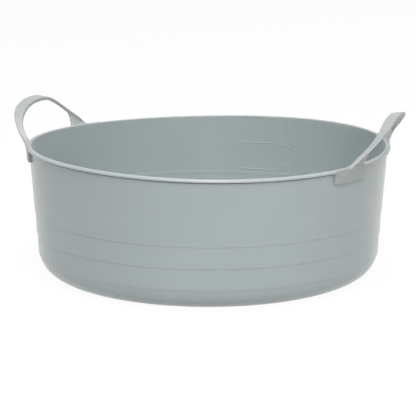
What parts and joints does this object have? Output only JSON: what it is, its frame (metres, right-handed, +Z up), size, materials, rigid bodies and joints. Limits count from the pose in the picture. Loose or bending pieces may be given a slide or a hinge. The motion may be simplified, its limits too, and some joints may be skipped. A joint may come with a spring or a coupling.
{
  "type": "flexible tub",
  "caption": "Shallow round flexible tub in soft plastic, with a flat lip, arched strap handles on lugs and raised level marks inside, for mixing and carrying.",
  "frame": {"origin": "on the table under the centre of the base", "axes": "+Z up through the mouth; the handles are on +X and -X; the level marks are inside the wall on +Y"},
  "size_m": [0.3164, 0.2966, 0.1359],
  "materials": {
    "soft_plastic": "satin, soft moulded polyethylene"
  },
  "bodies": {
    "tub": {"tub_shell": "soft_plastic", "rim_band": "soft_plastic", "right_front_lug": "soft_plastic", "right_front_web": "soft_plastic", "right_rear_lug": "soft_plastic", "right_rear_web": "soft_plastic", "left_front_lug": "soft_plastic", "left_front_web": "soft_plastic", "left_rear_lug": "soft_plastic", "left_rear_web": "soft_plastic", "level_line_6": "soft_plastic", "level_line_4_5": "soft_plastic", "level_line_3": "soft_plastic", "digit_6": "soft_plastic", "digit_4": "soft_plastic", "digit_point": "soft_plastic", "digit_5": "soft_plastic", "digit_3": "soft_plastic"},
    "right_handle": {"right_handle_strap": "soft_plastic"},
    "left_handle": {"left_handle_strap": "soft_plastic"}
  },
  "joints": [
    {"name": "right_handle_bend", "type": "hinge", "parent": "tub", "child": "right_handle", "pos_m": [0.13653, 0, 0.1058], "axis": [0, -1, 0], "range_deg": [-30, 75], "stiffness_Nm_per_rad": 0.15},
    {"name": "left_handle_bend", "type": "hinge", "parent": "tub", "child": "left_handle", "pos_m": [-0.13653, 0, 0.1058], "axis": [0, 1, 0], "range_deg": [-30, 75], "stiffness_Nm_per_rad": 0.15}
  ]
}
